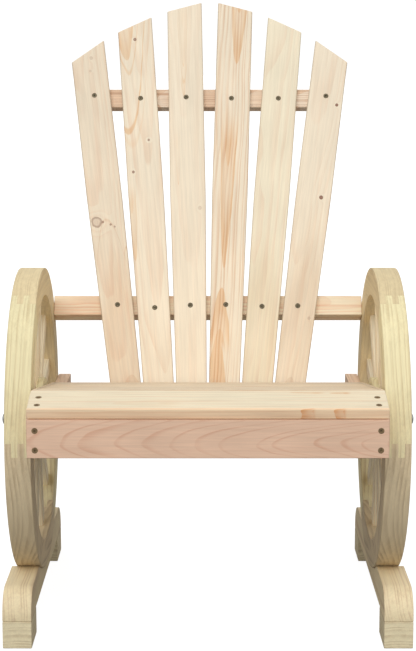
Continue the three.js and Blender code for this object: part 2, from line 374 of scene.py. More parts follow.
def from_shape(name, shape, crisp=None):
    """A bmesh made an object; with crisp, smooth but for edges over so many degrees."""
    mesh = bpy.data.meshes.new(name)
    shape.to_mesh(mesh)
    shape.free()
    if crisp:
        mesh.shade_smooth()
        mesh.set_sharp_from_angle(angle=math.radians(crisp))
    made = bpy.data.objects.new(name, mesh)
    scene.collection.objects.link(made)
    return made


def discard(thing):
    """Throws away an object and its mesh."""
    mesh = thing.data
    bpy.data.objects.remove(thing)
    bpy.data.meshes.remove(mesh)


def baked(name, source):
    """A plain mesh object of what source is once its modifiers have run."""
    bpy.context.view_layer.update()
    graph = bpy.context.evaluated_depsgraph_get()
    mesh = bpy.data.meshes.new_from_object(source.evaluated_get(graph))
    mesh.name = name
    discard(source)
    made = bpy.data.objects.new(name, mesh)
    scene.collection.objects.link(made)
    return made


def eased(name, shape, edge, steps=2, sinkings=None):
    """A bmesh made an object, with its arrises rounded to edge and sinkings cut in it."""
    blank = from_shape(name + "_blank", shape)
    blank.data.shade_smooth()
    plane = blank.modifiers.new("eased", "BEVEL")
    plane.width, plane.segments = edge, steps
    plane.limit_method, plane.angle_limit = "ANGLE", math.radians(35)
    if sinkings:
        cut = blank.modifiers.new("sinkings", "BOOLEAN")
        cut.operation, cut.solver, cut.object = "DIFFERENCE", "EXACT", sinkings
    blank.modifiers.new("flat_faces", "WEIGHTED_NORMAL")
    made = baked(name, blank)
    if sinkings:
        discard(sinkings)
    return made


def mark_grain(piece, start, along, across, through, edge, tone, cut=(0, 0, 0)):
    """Writes where each point lies in the board it was sawn from, and a mask of the rounded
    arrises that the finish darkens as painted shade.
    """
    mesh = piece.data
    for label, kind in (("grain", "FLOAT_VECTOR"), ("tone", "FLOAT"), ("arris", "FLOAT")):
        mesh.attributes.new(label, kind, "POINT")
    grain, tones, arris = (mesh.attributes[n] for n in ("grain", "tone", "arris"))
    wide = set()                 # corners of faces that are wider than an arris
    for face in mesh.polygons:
        longest = max((mesh.vertices[a].co - mesh.vertices[b].co).length
                      for a, b in face.edge_keys)
        if face.area / max(longest, 1e-9) > 1.2 * edge:
            wide.update(face.vertices)
    for point in mesh.vertices:
        away = point.co - start
        grain.data[point.index].vector = [
            away.dot(axis) + more for axis, more in zip((along, across, through), cut)]
        tones.data[point.index].value = tone
        # the arris mask is full on arrises along the grain and faint on end grain, and it sets
        # where the painted shade falls
        arris.data[point.index].value = 0.0 if point.index in wide else max(
            0.1, 1 - 1.6 * abs(point.normal.dot(along)))


def settle(piece, paint, slot, *nodes):
    """Gives a finished piece its finish, and its place in the frame."""
    piece.data.materials.clear()
    piece.data.materials.append(paint)
    if nodes:
        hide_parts(*nodes)
    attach(piece, "root")


wheel_pale = softwood(
    "wheel_spruce", Pith=(0, 0.006, -0.052), Lean=(0, 0.012, 0.035), Ring=0.0036,
    Waver=0.0022, Contrast=0.55, Streaks=0.25, Tone_Reach=0.16,
    Early=(0.82, 0.73, 0.45, 1), Late=(0.58, 0.46, 0.25, 1))
hub_edge = 0.0016
sides = (("left", -1), ("right", 1))
wheel_centres = {}
for side, outwards in sides:
    low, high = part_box("hub_" + side)
    wheel_centres[side] = centre = (low + high) / 2
    hub_radius = (high.z - low.z) / 2
    disc = bmesh.new()
    bmesh.ops.create_cone(
        disc, cap_ends=True, segments=96, radius1=hub_radius, radius2=hub_radius,
        depth=high.x - low.x,
        matrix=Matrix.Translation(centre) @ Matrix.Rotation(math.radians(90), 4, "Y"))
    hub = eased("wheel_hub_" + side, disc, hub_edge, 3)
    mark_grain(hub, centre, Vector((0, 0.94, 0.34)), Vector((0, -0.34, 0.94)),
               Vector((outwards, 0, 0)), hub_edge, 0.35, (0.2 * outwards, 0.01, 0.004))
    settle(hub, wheel_pale, "wheel_wood", "hub_" + side)


# ---- spokes ---------------------------------------------------------------------------------
# Twelve square-cut spruce bars stand in each wheel, two to a felloe. Each is sawn from its own
# stick, has its long arrises rounded, and is let a millimetre into the hub and the rim.
def grown(name, tree, points, **inputs):
    """Runs a geometry tree on a mesh of points and returns the plain mesh object it makes."""
    seed = bpy.data.meshes.new(name + "_places")
    seed.from_pydata([p[0] for p in points], [], [])
    facing = seed.attributes.new("facing", "FLOAT_VECTOR", "POINT")
    for mark, point in zip(facing.data, points):
        mark.vector = point[1]
    holder = bpy.data.objects.new(name + "_places", seed)
    scene.collection.objects.link(holder)
    modifier = holder.modifiers.new("made", "NODES")
    modifier.node_group = tree
    keys = {s.name: s.identifier for s in tree.interface.items_tree if s.in_out == "INPUT"}
    for label, value in inputs.items():
        modifier[keys[label.replace("_", " ")]] = value
    return baked(name, holder)


def stored(tree, body, label, value, domain="POINT", kind="FLOAT_VECTOR"):
    """The geometry with a value kept on it under a label."""
    return step(tree, "GeometryNodeStoreNamedAttribute",
                {"data_type": kind, "domain": domain}, Geometry=body, Name=label, Value=value)


def kept(tree, label):
    """The vector that is kept on the geometry under a label."""
    return result(step(tree, "GeometryNodeInputNamedAttribute",
                       {"data_type": "FLOAT_VECTOR"}, Name=label), "Attribute")


def make_spoke_tree():
    """Square bars set round a hub, each cut from its own place in the timber."""
    tree, take, give = node_group("wheel_spokes", [
        ("Geometry", "g"), ("Count", "i"), ("Inner Radius", "f"), ("Outer Radius", "f"),
        ("Width", "f"), ("Thickness", "f"), ("Arris", "f"), ("Seed", "i"),
        ("Material", "m")], [("Geometry", "g")], "GeometryNodeTree")
    add, calc = partial(step, tree), partial(sum_node, tree)
    stick = add("GeometryNodeCurvePrimitiveLine",
                Start=add("ShaderNodeCombineXYZ", Z=take["Inner Radius"]),
                End=add("ShaderNodeCombineXYZ", Z=take["Outer Radius"]))
    stick = add("GeometryNodeResampleCurve", Curve=stick, Count=14)
    section = add("GeometryNodeCurvePrimitiveQuadrilateral", Width=take["Width"],
                  Height=take["Thickness"])
    section = add("GeometryNodeFilletCurve", {"mode": "POLY"}, Curve=section, Count=3,
                  Radius=take["Arris"])
    bar = add("GeometryNodeCurveToMesh", Curve=stick, Profile_Curve=section, Fill_Caps=True)
    across, through, along = parts(tree, add("GeometryNodeInputPosition"))
    bar = stored(tree, bar, "grain",
                 add("ShaderNodeCombineXYZ", X=along, Y=through, Z=across))
    many = add("GeometryNodeDuplicateElements", {"domain": "POINT"},
               Geometry=take["Geometry"], Amount=take["Count"])
    turn = calc("DIVIDE", calc("ADD", result(many, "Duplicate Index"), 0.5), take["Count"])
    angle = add("ShaderNodeCombineXYZ", X=calc("MULTIPLY", turn, 2 * math.pi))
    bars = add("GeometryNodeInstanceOnPoints", Points=many, Instance=bar,
               Rotation=add("FunctionNodeEulerToRotation", Euler=angle))
    luck = add("FunctionNodeRandomValue", {"data_type": "FLOAT_VECTOR"},
               Min=(-0.4, -0.022, -0.012), Max=(0.4, 0.022, 0.012), Seed=take["Seed"])
    bars = stored(tree, bars, "cut", luck, "INSTANCE")
    shade = add("FunctionNodeRandomValue", {"data_type": "FLOAT"}, Min=0.0, Max=1.0,
                Seed=take["Seed"])
    bars = stored(tree, bars, "tone", shade, "INSTANCE", "FLOAT")
    bars = add("GeometryNodeRealizeInstances", Geometry=bars)
    bars = stored(tree, bars, "grain",
                  vector_sum(tree, "ADD", kept(tree, "grain"), kept(tree, "cut")))
    feed(tree, give["Geometry"],
         add("GeometryNodeSetMaterial", Geometry=bars, Material=take["Material"]))
    return tree


spoke_tree = make_spoke_tree()
# the spokes' pale cream is partly their own colour and partly painted light: it is raised to
# make up for the fill light missing in the shade inside the rims
spoke_pale = softwood(
    "spoke_spruce", Pith=(0, 0.01, -0.045), Lean=(0, 0.01, 0.02), Ring=0.0034,
    Waver=0.0018, Contrast=0.5, Streaks=0.3, Tone_Reach=0.2,
    Early=(0.97, 0.86, 0.62, 1), Late=(0.76, 0.55, 0.34, 1))
let_in = 0.001                   # how deep a spoke's foot goes into the hub
for side, seed in (("left", 3), ("right", 8)):
    names = [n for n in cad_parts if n.startswith("spoke_" + side)]
    low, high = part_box(f"spoke_{side}_01")
    hub_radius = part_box("hub_" + side)[1].z - wheel_centres[side].z
    spokes = grown(
        "wheel_spokes_" + side, spoke_tree, [(wheel_centres[side], (0, 0, 1))],
        Count=12, Inner_Radius=hub_radius - let_in, Outer_Radius=0.1843,
        Width=high.x - low.x, Thickness=0.022, Arris=0.0016, Seed=seed, Material=spoke_pale)
    settle(spokes, spoke_pale, "spoke_wood", *names)


# ---- felloes --------------------------------------------------------------------------------
# Six curved felloes make each rim. Every one is band-sawn from its own plank with the grain
# along its chord, and they are finger-jointed end to end and sanded flush.
felloe_count, felloe_steps, finger_layers = 6, 20, 4
finger = math.radians(2.5)       # half a finger's length, as an angle
joint_gap = 0.00005
rim_inner, felloe_edge = 0.1834, 0.0014


def felloe(middle, outwards, depth, outer, number):
    """One felloe about the wheel's middle, as quads, with fingers cut in both ends."""
    turn = 2 * math.pi / felloe_count
    first = (number + 0.5) * turn
    stops = [first - finger, first + finger]
    stops += [first + turn * i / felloe_steps for i in range(1, felloe_steps)]
    stops += [first + turn - finger, first + turn + finger]
    layers = [-depth / 2 + depth * i / finger_layers for i in range(finger_layers + 1)]
    shape = bmesh.new()
    made = {}
    last = len(stops) - 2

    def corner(i, j, radius):
        if (i, j, radius) not in made:
            shrink = joint_gap / radius
            angle = stops[i] + (shrink if i < 2 else -shrink if i >= last else 0)
            made[i, j, radius] = shape.verts.new(middle + Vector((
                outwards * layers[j], -math.sin(angle) * radius,
                math.cos(angle) * radius)))
        return made[i, j, radius]

    def solid(i, j):
        """Whether a cell is wood: at either end only every other layer is, as a finger."""
        if not (0 <= i <= last and 0 <= j < finger_layers):
            return False
        return j % 2 == (i == 0) if i in (0, last) else True

    for i in range(last + 1):
        for j in range(finger_layers):
            if not solid(i, j):
                continue
            for radius in (rim_inner, outer):
                shape.faces.new([corner(i, j, radius), corner(i + 1, j, radius),
                                 corner(i + 1, j + 1, radius), corner(i, j + 1, radius)])
            for other, a, b in (((i - 1, j), (i, j), (i, j + 1)),
                                ((i + 1, j), (i + 1, j), (i + 1, j + 1)),
                                ((i, j - 1), (i, j), (i + 1, j)),
                                ((i, j + 1), (i, j + 1), (i + 1, j + 1))):
                if not solid(*other):
                    shape.faces.new([corner(*a, rim_inner), corner(*b, rim_inner),
                                     corner(*b, outer), corner(*a, outer)])
    bmesh.ops.recalc_face_normals(shape, faces=shape.faces)
    rims = []                    # the long edges of both faces, which are rounded
    for edge in shape.edges:
        a, b = (v.co - middle for v in edge.verts)
        if (max(abs(abs(a.x) - depth / 2), abs(abs(b.x) - depth / 2)) < 1e-6
                and edge.calc_face_angle(0) > 0.6
                and abs(a.yz.length - b.yz.length) < 1e-5):
            rims.append(edge)
    bmesh.ops.bevel(shape, geom=rims, offset=felloe_edge, segments=2, profile=0.5,
                    affect="EDGES", clamp_overlap=True)
    return shape


felloe_paints = [softwood(
    "felloe_" + label, Pith=pith, Lean=lean, Ring=ring, Waver=0.0025, Contrast=contrast,
    Streaks=streaks, Tone_Reach=0.1, Early=early, Late=late)
    for label, pith, lean, ring, contrast, streaks, early, late in (
        ("top", (0, 0.004, -0.16), (0, 0.02, 0.03), 0.0046, 0.4, 0.2,
         (0.79, 0.65, 0.39, 1), (0.58, 0.44, 0.25, 1)),
        ("front", (0, 0.004, -0.13), (0, 0.006, 0.018), 0.0062, 0.6, 0.2,
         (0.9, 0.8, 0.49, 1), (0.68, 0.55, 0.31, 1)),
        ("low", (0, -0.02, -0.07), (0, 0.03, 0.06), 0.0066, 0.6, 0.3,
         (0.76, 0.62, 0.4, 1), (0.5, 0.37, 0.22, 1)))]
felloe_of = [1, 2, 2, 1, 0, 0]
for side, outwards in sides:
    middle = wheel_centres[side]
    low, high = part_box("rim_" + side)
    for number in range(felloe_count):
        shape = felloe(middle, outwards, high.x - low.x, high.z - middle.z, number)
        piece = from_shape(f"felloe_{side}_{number + 1}", shape, 20)
        half = 2 * math.pi * (number + 1) / felloe_count
        radial = Vector((0, -math.sin(half), math.cos(half)))
        along = Vector((0, -math.cos(half), -math.sin(half)))
        mark_grain(piece, middle + radial * 0.2, along, radial, Vector((outwards, 0, 0)),
                   felloe_edge, (number * 0.37 + (side == "right") * 0.5) % 1,
                   (0.21 * number, 0.0, 0.0))
        settle(piece, felloe_paints[felloe_of[number]], "wheel_wood", "rim_" + side)


# ---- base rails and feet --------------------------------------------------------------------
# A notched rail under each wheel cradles its rim, and stands on a block at either end. Both
# are cut from the same square spruce batten, the blocks with their end grain to the front.
screw_head, screw_shank = 0.0041, 0.0019     # radii of every wood screw
sink_depth, sink_rim = 0.0038, 0.0009        # of its countersink, whose rim is wider
from_front = (0.0, -1.0, 0.35)               # the side of a board that is its face


def countersinks(screws):
    """The cones that a countersink leaves for these screws, as one object."""
    shape = bmesh.new()
    for place, facing in screws:
        bmesh.ops.create_cone(
            shape, cap_ends=True, segments=24, radius1=screw_shank,
            radius2=screw_head + sink_rim, depth=sink_depth,
            matrix=Matrix.Translation(place - Vector(facing) * 0.0013)
            @ Vector(facing).to_track_quat("Z", "Y").to_matrix().to_4x4())
    cones = from_shape("countersinks", shape)
    cones.hide_render = True
    return cones


def cad_board(node, seen_from):
    """A CAD board's shape, and its start, along, across and through found from it."""
    shape = bmesh.new()
    shape.from_mesh(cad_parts[node].data)
    bmesh.ops.remove_doubles(shape, verts=shape.verts, dist=1e-6)
    bmesh.ops.dissolve_limit(
        shape, angle_limit=math.radians(0.4), verts=shape.verts, edges=shape.edges)
    bmesh.ops.recalc_face_normals(shape, faces=shape.faces)
    shares = {}
    for face in shape.faces:
        key = tuple(round(abs(c), 2) for c in face.normal)
        shares.setdefault(key, [0, face.normal.copy()])[0] += face.calc_area()
    through = max(shares.values(), key=lambda share: share[0])[1]
    if through.dot(Vector(seen_from)) < 0:
        through = -through
    ways = sorted(((e.verts[0].co - e.verts[1].co) for e in shape.edges),
                  key=lambda way: -way.length)
    along = next(w for w in ways if abs(w.normalized().dot(through)) < 0.02).normalized()
    if along[max(range(3), key=lambda i: abs(along[i]))] < 0:
        along = -along
    across = along.cross(through)
    spans = [[v.co.dot(axis) for v in shape.verts] for axis in (along, across, through)]
    start = (along * (min(spans[0]) + max(spans[0])) / 2
             + across * (min(spans[1]) + max(spans[1])) / 2 + through * max(spans[2]))
    return shape, (start, along, across, through)


def face_axes(node, seen_from=from_front):
    """A CAD board's start and axes alone, for setting out screws on its face."""
    shape, axes = cad_board(node, seen_from)
    shape.free()
    return axes


def board(name, node, paint, slot, tone=0.5, cut=(0, 0, 0), edge=0.0012,
          seen_from=from_front, screws=()):
    """A finished board that stands for one CAD node, countersunk for its screws."""
    shape, axes = cad_board(node, seen_from)
    piece = eased(name, shape, edge, sinkings=countersinks(screws) if screws else None)
    mark_grain(piece, *axes, edge, tone, cut)
    settle(piece, paint, slot, node)


batten = softwood(
    "base_batten", Pith=(0, 0.02, -0.16), Lean=(0, 0.01, 0.012), Ring=0.0058,
    Waver=0.0016, Contrast=0.5, Streaks=0.3, Tone_Reach=0.12,
    Early=(0.86, 0.72, 0.46, 1), Late=(0.62, 0.44, 0.27, 1))
block_end = softwood(
    "foot_block", Pith=(0, 0.004, -0.2), Lean=(0, 0.01, 0.0), Ring=0.0062, Waver=0.0009,
    Contrast=0.55, Streaks=0.1, Tone_Reach=0.1,
    Early=(0.85, 0.74, 0.49, 1), Late=(0.58, 0.45, 0.27, 1))
for side, outwards in sides:
    board("rail_under_" + side, "base_rail_" + side, batten, "base_wood",
          tone=0.5 + 0.2 * outwards, cut=(0.3 * outwards, 0, 0),
          seen_from=(-outwards, 0, 0))
    for end in ("front", "rear"):
        board(f"block_{end}_{side}", f"foot_{end}_{side}", block_end, "base_wood",
              tone=0.3 if end == "front" else 0.6,
              cut=(0.2 * outwards, 0.003 * outwards, 0), seen_from=(0, 0, 1))


# ---- stringers ------------------------------------------------------------------------------
# One board on edge inside each wheel carries the seat. It falls towards the back, and is cut
# to a point at the front, where the apron closes it.
stringer_board = softwood(
    "stringer_spruce", Pith=(0, 0.02, -0.03), Lean=(0, 0.02, 0.02), Ring=0.004,
    Waver=0.003, Contrast=0.5, Streaks=0.35, Tone_Reach=0.1,
    Early=(0.92, 0.67, 0.47, 1), Late=(0.62, 0.38, 0.23, 1))
for side, outwards in sides:
    board("side_stringer_" + side, "stringer_" + side, stringer_board, "seat_wood",
          tone=0.5 + 0.3 * outwards, cut=(0.25 * outwards, 0, 0),
          seen_from=(-outwards, 0, 0))


# ---- apron ----------------------------------------------------------------------------------
# A board across the front closes the seat frame. It is a flat-sawn, pinkish board whose rings
# show as long low arches, and two screws at each end hold it to the stringers.
apron_board = softwood(
    "apron_pine", Pith=(0, 0.003, -0.05), Lean=(0, 0.012, 0.085), Ring=0.0032,
    Waver=0.002, Contrast=0.5, Late_Start=0.66, Streaks=0.2, Shift=(3.1, 0, 0),
    Early=(0.845, 0.575, 0.41, 1), Late=(0.72, 0.4, 0.26, 1))


def screw_pairs(start, way, aside, fars, facing):
    """Two screws at each end of a board: aside of its middle, and so far along way."""
    return [(Vector((sign * aside, at.y, at.z)), tuple(facing))
            for sign in (-1, 1) for at in (start + way * far for far in fars)]


low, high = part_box("apron")
apron_screws = screw_pairs(Vector((0, low.y, high.z)), Vector((0, 0, -1)), 0.231,
                           (0.0149, 0.0416), (0, -1, 0))
board("front_apron", "apron", apron_board, "apron_wood", screws=apron_screws)


# ---- seat -----------------------------------------------------------------------------------
# A slat tipped forward rounds off the front of the seat, and five more lie down its slope,
# each planed, with eased arrises, and screwed to the stringers.
front_board = softwood(
    "front_slat_pine", Pith=(0, 0.037, -0.007), Lean=(0, 0.001, 0.002), Ring=0.0052,
    Waver=0.0018, Contrast=0.45, Streaks=0.35, Shift=(5.3, 0.2, 0), Heart_Radius=0.0115,
    Heart_Share=1.0, Early=(0.88, 0.785, 0.58, 1), Late=(0.8, 0.56, 0.37, 1),
    Heart=(1.14, 0.97, 0.88, 1), Tongue=(0.87, 0.6, 0.42, 1),
    flames=[(0.119, 0.036, 0.025, 0.007, 1.1, 1.0), (0.165, 0.036, 0.02, 0.007, 1.1, 1.0),
            (0.11, -0.0235, 0.05, 0.003, 0.8, 1.0), (0.165, -0.022, 0.03, 0.004, 0.8, 1.0),
            (-0.16, -0.034, 0.4, 0.005, 0.6, 1.0), (-0.13, 0.012, 0.1, 0.012, 0.2, 1.0),
            (-0.2, 0.041, 0.3, 0.006, 0.5, 0.3), (0.0, 0.041, 0.2, 0.005, 0.5, 0.3)])
start, along, across, through = face_axes("seat_slat_front", (0, 0, 1))
down = across if across.y < 0 else -across
front_screws = screw_pairs(start, down, 0.229, (-0.0084, 0.0176), through)
board("tipped_front_slat", "seat_slat_front", front_board, "seat_wood",
      seen_from=(0, 0, 1), edge=0.0015, screws=front_screws)
seat_board = softwood(
    "seat_slat_pine", Pith=(0, 0.005, -0.05), Lean=(0, 0.012, 0.03), Ring=0.0044,
    Waver=0.003, Contrast=0.42, Streaks=0.3, Tone_Reach=0.14,
    Early=(0.86, 0.72, 0.53, 1), Late=(0.66, 0.44, 0.27, 1))
seat_screws = []
for number in range(1, 6):
    start, along, across, through = face_axes(f"seat_slat_{number}", (0, 0, 1))
    driven = screw_pairs(start, across, 0.2345, (-0.014, 0.014), through)
    seat_screws += driven
    board(f"seat_board_{number}", f"seat_slat_{number}", seat_board, "seat_wood",
          tone=(number * 0.618) % 1, cut=(0.17 * number, 0.012 * (number % 3 - 1), 0),
          seen_from=(0, 0, 1), screws=driven)


# ---- back rails -----------------------------------------------------------------------------
# Three rails behind the back slats hold the fan. The middle one is deep and runs from wheel
# to wheel, the top one is thin, and the lower one ties the slats' feet to the stringers.
middle_board = softwood(
    "middle_rail_pine", Pith=(0, 0.012, -0.032), Lean=(0, 0.008, 0.03), Ring=0.0048,
    Waver=0.006, Contrast=0.62, Streaks=0.6, Shift=(1.7, 0.3, 0),
    Early=(0.92, 0.79, 0.58, 1), Late=(0.8, 0.5, 0.32, 1), Tongue=(0.93, 0.79, 0.72, 1),
    flames=[(0.1, 0, -0.5, 0.031, 0.7, 1.0), (-0.2, 0.005, 0.1, 0.012, 0.8, 0.2)])
top_board = softwood(
    "top_rail_pine", Pith=(0, 0.04, -0.03), Lean=(0, 0.004, 0.01), Ring=0.003,
    Waver=0.003, Contrast=0.6, Streaks=0.9, Shift=(2.4, 0.1, 0),
    Early=(0.84, 0.63, 0.45, 1), Late=(0.55, 0.33, 0.2, 1), Tongue=(1.1, 1.25, 1.4, 1),
    flames=[(-0.085, 0.004, 0.05, 0.03, 1.0, 1.0), (0.06, 0.004, 0.06, 0.03, 0.7, 1.0),
            (0.135, 0.004, 0.09, 0.03, 1.2, 1.0), (0.012, 0.004, 0.02, 0.03, 0.8, 1.0)])
board("middle_back_rail", "back_rail_middle", middle_board, "back_wood")
board("top_back_rail", "back_rail_top", top_board, "back_wood")
board("lower_back_rail", "back_rail_lower", top_board, "back_wood", cut=(0.4, 0.01, 0))


# ---- back slats -----------------------------------------------------------------------------
# Six planed pine boards fan out over the back, cut along one arch at the top and narrowing
# to the seat. No two are sawn alike, so each has its own rings, knots and heartwood.
def slat_middle(node, start, up, out, height):
    """The middle of a slat's front face at a height up its slope from start."""
    shape = bmesh.new()
    shape.from_mesh(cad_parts[node].data)
    bmesh.ops.remove_doubles(shape, verts=shape.verts, dist=1e-6)
    met = []
    for edge in shape.edges:
        if sorted(f.normal.dot(out) > 0.9 for f in edge.link_faces) != [False, True]:
            continue
        a, b = (v.co.copy() for v in edge.verts)
        rise_a, rise_b = (a - start).dot(up) - height, (b - start).dot(up) - height
        if rise_a * rise_b < 0:
            met.append(a.lerp(b, rise_a / (rise_a - rise_b)))
    shape.free()
    return (met[0] + met[1]) / 2


common = dict(Waver=0.003, Streaks=0.25, Early=(0.9, 0.78, 0.6, 1),
              Late=(0.8, 0.58, 0.4, 1), Tongue=(0.92, 0.75, 0.6, 1),
              Knot_Colour=(0.27, 0.13, 0.08, 1))
slat_timbers = [
    dict(Pith=(0, -0.016, -0.05), Lean=(0, -0.012, 0.04), Ring=0.0052, Waver=0.004,
         Contrast=0.4, Shift=(0.3, 0, 0), Early=(0.85, 0.725, 0.55, 1),
         Late=(0.77, 0.55, 0.38, 1), Tongue=(0.88, 0.76, 0.67, 1),
         knots=[(0.0065, -0.0195, 0.0076, 0.75), (0.0053, -0.0095, 0.0017, 0.9),
                (-0.0005, 0.0024, 0.0015, 0.9), (-0.005, 0.0085, 0.0013, 0.8),
                (0.29, 0.0056, 0.0026, 0.3), (0.267, 0.0018, 0.0018, 0.3)],
         flames=[(-0.038, 0.0225, -0.13, 0.014, 0.8, 0.1), (0.0, 0.004, -0.4, 0.06, 0.9, 1.0),
                 (0.012, -0.004, -0.12, 0.03, 0.7, 0.1)]),
    dict(Pith=(0, 0.004, -0.045), Lean=(0, 0.012, 0.035), Ring=0.0052, Contrast=0.4,
         Shift=(1.1, 0, 0),
         knots=[(0.3, 0.0004, 0.0024, 1.0), (0.122, 0.0093, 0.0017, 0.9),
                (0.069, -0.0197, 0.0019, 1.0)],
         flames=[(0.263, -0.016, 0.09, 0.018, 1.0, 1.0), (0.235, -0.014, 0.2, 0.03, 0.9, 0.0),
                 (0.1315, -0.022, 0.24, 0.044, 1.6, 0.0),
                 (0.107, -0.0175, 0.3, 0.05, 0.3, 0.0),
                 (-0.083, -0.027, 0.13, 0.009, 1.0, 0.8)]),
    dict(Pith=(0, -0.004, -0.06), Lean=(0, 0.004, 0.012), Ring=0.0056, Contrast=0.22,
         Streaks=0.2, Shift=(2.2, 0, 0),
         knots=[(-0.009, 0.016, 0.0028, 0.25)],
         flames=[(0.205, -0.0022, 0.16, 0.009, 1.0, 0.2),
                 (0.235, -0.0022, 0.12, 0.006, 0.7, 0.4),
                 (0.18, -0.0034, 0.04, 0.004, 0.8, 1.0), (0.03, -0.017, 0.1, 0.005, 0.7, 0.3)]),
    dict(Pith=(0, -0.04, -0.03), Lean=(0, 0.004, 0.01), Ring=0.0046, Contrast=0.66,
         Streaks=0.4, Shift=(3.3, 0, 0), Late=(0.74, 0.5, 0.32, 1),
         flames=[(0.24, 0.0045, 0.15, 0.0156, 1.1, 1.0),
                 (-0.1126, -0.0025, 0.28, 0.0145, 1.1, 1.0),
                 (-0.1406, -0.004, -0.11, 0.0178, 1.5, 1.0),
                 (-0.223, -0.0064, -0.2, 0.025, 1.5, 1.0)]),
    dict(Pith=(0, -0.02, -0.06), Lean=(0, 0.004, 0.01), Ring=0.0058, Contrast=0.36,
         Shift=(4.4, 0, 0), Early=(0.9, 0.8, 0.6, 1), Tongue=(0.88, 0.82, 0.76, 1),
         flames=[(0.0, 0.0, -0.45, 0.06, 1.2, 1.0)]),
    dict(Pith=(0, -0.012, -0.05), Lean=(0, 0.006, 0.02), Ring=0.005, Waver=0.004, Contrast=0.3,
         Shift=(5.5, 0, 0), Tongue=(0.86, 0.79, 0.74, 1),
         knots=[(0.2102, 0.0189, 0.0023, 1.3), (0.0482, 0.0142, 0.0027, 1.3),
                (-0.154, 0.0213, 0.0022, 0.35)],
         flames=[(0.06, 0.006, -0.5, 0.05, 1.2, 1.0)]),
]
# each screw was driven by hand, a little below the rail's middle and off the slat's
drops = {"middle": (3, 8, 4, 3, 6, 5), "top": (1, 6, 4, 6, 6, 2)}
shifts = {"middle": (1.5, 2, 0.5, -1.5, -2, -3.5), "top": (2.5, 1.5, 0, -2, -1.3, 0)}
slat_screws = []
for number, timber in enumerate(slat_timbers, 1):
    paint = softwood(f"back_pine_{number}", **{**common, **timber})
    node = f"back_slat_{number}"
    start, along, across, through = face_axes(node)
    up = Vector((0, through.z, -through.y))
    driven = []
    for place in ("middle", "top"):
        low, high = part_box("back_rail_" + place)
        rise = ((low + high) / 2 - start).dot(up) - drops[place][number - 1] / 1000
        at = slat_middle(node, start, up, through, rise)
        at.x += shifts[place][number - 1] / 1000
        driven.append((at, tuple(through)))
    slat_screws += driven
    board(f"back_board_{number}", node, paint, "back_wood", tone=0.5, edge=0.0018,
          screws=driven)


# ---- screws ---------------------------------------------------------------------------------
# Countersunk wood screws in dark yellow zinc, with cross recesses, hold the slats and the
# apron. Each head sits a hair below the face, in its countersink, turned as it stopped.
def stood(tree, take, body, most):
    """A copy of body on every place, facing its way and turned by chance up to most."""
    add = partial(step, tree)
    luck = add("FunctionNodeRandomValue", {"data_type": "FLOAT"}, Min=0.0, Max=most,
               Seed=take["Seed"])
    turned = add(
        "FunctionNodeRotateRotation", {"rotation_space": "LOCAL"},
        Rotation=add("FunctionNodeAlignRotationToVector", {"axis": "Z"},
                     Vector=kept(tree, "facing")),
        Rotate_By=add("FunctionNodeEulerToRotation",
                      Euler=add("ShaderNodeCombineXYZ", Z=luck)))
    many = add("GeometryNodeInstanceOnPoints", Points=take["Geometry"], Instance=body,
               Rotation=turned)
    many = add("GeometryNodeRealizeInstances", Geometry=many)
    return add("GeometryNodeSetMaterial", Geometry=many, Material=take["Material"])


def make_screw_tree():
    """A countersunk head with a cross recess, and its shank, at every place."""
    tree, take, give = node_group("countersunk_screws", [
        ("Geometry", "g"), ("Head Radius", "f"), ("Head Depth", "f"), ("Proud", "f"),
        ("Shank Radius", "f"), ("Length", "f"), ("Recess Length", "f"),
        ("Recess Width", "f"), ("Recess Depth", "f"), ("Seed", "i"),
        ("Material", "m")], [("Geometry", "g")], "GeometryNodeTree")
    add, calc = partial(step, tree), partial(sum_node, tree)
    sunk = calc("SUBTRACT", take["Proud"], take["Head Depth"])
    head, shank = (
        add("GeometryNodeTransform", Translation=add("ShaderNodeCombineXYZ", Z=level),
            Geometry=add("GeometryNodeMeshCone", Vertices=sides, Radius_Top=top,
                         Radius_Bottom=bottom, Depth=depth))
        for level, sides, top, bottom, depth in (
            (sunk, 24, take["Head Radius"], take["Shank Radius"], take["Head Depth"]),
            (calc("SUBTRACT", sunk, take["Length"]), 12, take["Shank Radius"], 0.0006,
             take["Length"])))
    long, wide, deep = (take["Recess " + part] for part in ("Length", "Width", "Depth"))
    arms = [add("GeometryNodeMeshCube", Size=add("ShaderNodeCombineXYZ", X=x, Y=y, Z=deep))
            for x, y in ((long, wide), (wide, long))]
    bitten = add("GeometryNodeMeshBoolean", {"operation": "DIFFERENCE"}, Mesh_1=head,
                 Mesh_2=arms)
    whole = add("GeometryNodeJoinGeometry", Geometry=[bitten, shank])
    feed(tree, give["Geometry"], stood(tree, take, whole, math.pi / 2))
    return tree


def make_plating_group():
    """Zinc plating: cloudy colour, dull in the hollows and a little scratched."""
    tree, take, give = node_group("zinc_plating", [
        ("Place", "v"), ("Bright", "c", (0.5, 0.48, 0.44, 1)),
        ("Dull", "c", (0.3, 0.28, 0.25, 1)), ("Fineness", "f", 400.0),
    ], [("Color", "c"), ("Roughness", "f"), ("Height", "f")])
    cloud = step(tree, "ShaderNodeTexNoise", Vector=take["Place"],
                 Scale=take["Fineness"]).outputs[0]
    share = ramp(tree, cloud, 0.3, 0.7)
    feed(tree, give["Color"], blend_colour(tree, share, take["Dull"], take["Bright"]))
    feed(tree, give["Roughness"], ramp(tree, cloud, 0.3, 0.7, 0.52, 0.36))
    feed(tree, give["Height"], share)
    return tree


plating_group = make_plating_group()


def plated(name, bright, dull, metal):
    """A plated steel finish."""
    paint, tree = new_paint(name)
    where = tree.nodes.new("ShaderNodeTexCoord").outputs["Object"]
    plating = step(tree, "ShaderNodeGroup", {"node_tree": plating_group}, Place=where,
                   Bright=bright, Dull=dull)
    coat(tree, plating, 0.15, 0.0002, Metallic=metal)
    return paint


